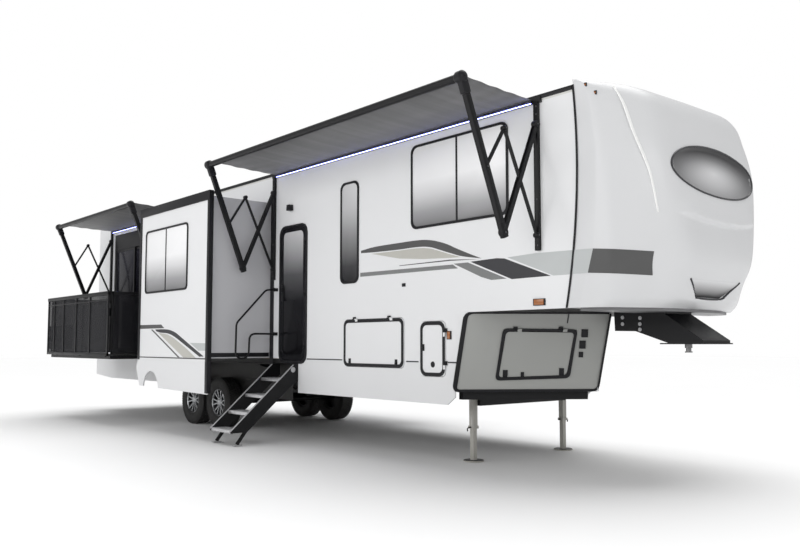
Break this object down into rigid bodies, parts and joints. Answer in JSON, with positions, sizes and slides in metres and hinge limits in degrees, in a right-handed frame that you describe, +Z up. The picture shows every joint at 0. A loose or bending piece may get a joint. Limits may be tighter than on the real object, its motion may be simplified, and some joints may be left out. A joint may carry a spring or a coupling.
{
  "type": "fifth wheel travel trailer",
  "caption": "Long fifth wheel travel trailer parked on landing legs, with slide-outs, awnings, entry steps and a fold-up patio deck.",
  "frame": {"origin": "middle of the king pin's lower flange", "axes": "+X forward to the nose, +Y to the road side, +Z up; the ground is at z = -1.223 m"},
  "size_m": [12.96, 4.7, 4.0826],
  "materials": {
    "white_wall": "gloss gelcoat over fibreglass",
    "skirt_metal": "white painted sheet metal",
    "cap_gelcoat": "high gloss automotive gelcoat",
    "roof_skin": "matt white roof membrane",
    "grey_gelcoat": "warm grey gelcoat",
    "floor_board": "plywood decking",
    "black_steel": "satin black powder coat",
    "belly_sheet": "black corrugated plastic",
    "bare_steel": "greased machined steel",
    "leg_steel": "light grey enamel",
    "black_trim": "black window and trim moulding",
    "dark_glass": "dark tinted safety glass",
    "door_skin": "black door skin",
    "black_aluminium": "black powder coated aluminium",
    "awning_cloth": "grey coated awning fabric",
    "step_metal": "black aluminium with bare tread edges",
    "roof_plastic": "moulded roof shroud",
    "lamp_lens": "amber and red lenses",
    "tyre_rubber": "black tyre rubber",
    "rim_alloy": "machined alloy with dark pockets"
  },
  "bodies": {
    "trailer": {"air_conditioners": "roof_plastic", "awning_front_fabric": "awning_cloth", "awning_front_frame": "black_aluminium", "awning_rear_fabric": "awning_cloth", "awning_rear_frame": "black_aluminium", "axles": "black_steel", "belly_pan": "belly_sheet", "chassis_frame": "black_steel", "entry_steps": "step_metal", "floor_lower": "floor_board", "floor_upper": "floor_board", "front_cap": "cap_gelcoat", "king_pin": "bare_steel", "lamps": "lamp_lens", "landing_legs": "leg_steel", "patio_frame": "black_trim", "patio_glass": "dark_glass", "pin_box": "black_steel", "roof": "roof_skin", "roof_vents": "roof_plastic", "skirt_curb": "skirt_metal", "skirt_road": "skirt_metal", "storage_tub": "grey_gelcoat", "suspension": "black_steel", "wall_brackets": "black_trim", "wall_curb": "white_wall", "wall_rear": "white_wall", "wall_road": "white_wall", "window_frames": "black_trim", "window_glass": "dark_glass"},
    "wheel_curb_front": {"tyre_curb_front": "tyre_rubber", "rim_curb_front": "rim_alloy"},
    "wheel_curb_rear": {"tyre_curb_rear": "tyre_rubber", "rim_curb_rear": "rim_alloy"},
    "wheel_road_front": {"tyre_road_front": "tyre_rubber", "rim_road_front": "rim_alloy"},
    "wheel_road_rear": {"tyre_road_rear": "tyre_rubber", "rim_road_rear": "rim_alloy"},
    "entry_door": {"entry_door": "door_skin", "entry_glass": "dark_glass"},
    "middle_hatch": {"middle_hatch": "white_wall"},
    "service_hatch": {"service_hatch": "white_wall"},
    "storage_hatch_curb": {"storage_hatch_curb": "grey_gelcoat"},
    "storage_hatch_road": {"storage_hatch_road": "grey_gelcoat"},
    "curb_slide": {"curb_slide_box": "white_wall", "curb_slide_face": "white_wall", "curb_slide_window": "black_trim", "curb_slide_glass": "dark_glass", "curb_slide_skirt": "skirt_metal"},
    "road_slide": {"road_slide_box": "white_wall", "road_slide_face": "white_wall", "road_slide_window": "black_trim", "road_slide_glass": "dark_glass"},
    "patio_slider": {"patio_slider": "black_trim", "patio_slider_glass": "dark_glass"},
    "patio_deck": {"patio_deck": "black_steel"},
    "patio_rail_outer": {"patio_rail_outer": "black_steel"},
    "patio_rail_rear": {"patio_rail_rear": "black_steel"},
    "patio_rail_front": {"patio_rail_front": "black_steel"},
    "grab_handle": {"grab_handle": "black_aluminium"}
  },
  "joints": [
    {"name": "spin_curb_front", "type": "hinge", "parent": "trailer", "child": "wheel_curb_front", "pos_m": [-7.43, -1.0725, -0.834], "axis": [0, 1, 0], "continuous": true},
    {"name": "spin_curb_rear", "type": "hinge", "parent": "trailer", "child": "wheel_curb_rear", "pos_m": [-8.3, -1.0725, -0.834], "axis": [0, 1, 0], "continuous": true},
    {"name": "spin_road_front", "type": "hinge", "parent": "trailer", "child": "wheel_road_front", "pos_m": [-7.43, 1.0725, -0.834], "axis": [0, 1, 0], "continuous": true},
    {"name": "spin_road_rear", "type": "hinge", "parent": "trailer", "child": "wheel_road_rear", "pos_m": [-8.3, 1.0725, -0.834], "axis": [0, 1, 0], "continuous": true},
    {"name": "entry_door_swing", "type": "hinge", "parent": "trailer", "child": "entry_door", "pos_m": [-4.932, -1.24, 0.777], "axis": [0, 0, 1], "range_deg": [0, 110]},
    {"name": "middle_hatch_lift", "type": "hinge", "parent": "trailer", "child": "middle_hatch", "pos_m": [-3.468, -1.24, 0.384], "axis": [-1, 0, 0], "range_deg": [0, 95]},
    {"name": "service_hatch_swing", "type": "hinge", "parent": "trailer", "child": "service_hatch", "pos_m": [-2.187, -1.24, 0.027], "axis": [0, 0, 1], "range_deg": [0, 100]},
    {"name": "storage_hatch_curb_lift", "type": "hinge", "parent": "trailer", "child": "storage_hatch_curb", "pos_m": [-1.3817, -0.5843, 0.2331], "axis": [-0.6103, -0.7921, 0], "range_deg": [0, 95]},
    {"name": "storage_hatch_road_lift", "type": "hinge", "parent": "trailer", "child": "storage_hatch_road", "pos_m": [-1.3817, 0.5843, 0.2331], "axis": [0.6103, -0.7921, 0], "range_deg": [0, 95]},
    {"name": "curb_slide_travel", "type": "slide", "parent": "trailer", "child": "curb_slide", "axis": [0, 1, 0], "range_m": [0, 0.935]},
    {"name": "road_slide_travel", "type": "slide", "parent": "trailer", "child": "road_slide", "axis": [0, -1, 0], "range_m": [0, 0.935]},
    {"name": "patio_slider_travel", "type": "slide", "parent": "trailer", "child": "patio_slider", "axis": [-1, 0, 0], "range_m": [0, 0.8]},
    {"name": "patio_fold", "type": "hinge", "parent": "trailer", "child": "patio_deck", "pos_m": [-10.17, -1.255, -0.103], "axis": [-1, 0, 0], "range_deg": [0, 90]},
    {"name": "patio_rail_outer_fold", "type": "hinge", "parent": "patio_deck", "child": "patio_rail_outer", "pos_m": [-10.17, -2.425, -0.103], "axis": [1, 0, 0], "range_deg": [0, 90]},
    {"name": "patio_rail_rear_fold", "type": "hinge", "parent": "patio_rail_outer", "child": "patio_rail_rear", "pos_m": [-11.62, -2.437, 0.377], "axis": [0, 0, -1], "range_deg": [0, 90]},
    {"name": "patio_rail_front_fold", "type": "hinge", "parent": "patio_rail_outer", "child": "patio_rail_front", "pos_m": [-8.72, -2.437, 0.377], "axis": [0, 0, 1], "range_deg": [0, 90]},
    {"name": "grab_handle_fold", "type": "hinge", "parent": "trailer", "child": "grab_handle", "pos_m": [-5.65, -1.275, 0.527], "axis": [0, 0, 1], "range_deg": [0, 90]}
  ],
  "couplings": [
    {"joint": "patio_rail_outer_fold", "follows": "patio_fold", "ratio": 1},
    {"joint": "patio_rail_rear_fold", "follows": "patio_fold", "ratio": 1},
    {"joint": "patio_rail_front_fold", "follows": "patio_fold", "ratio": 1}
  ]
}
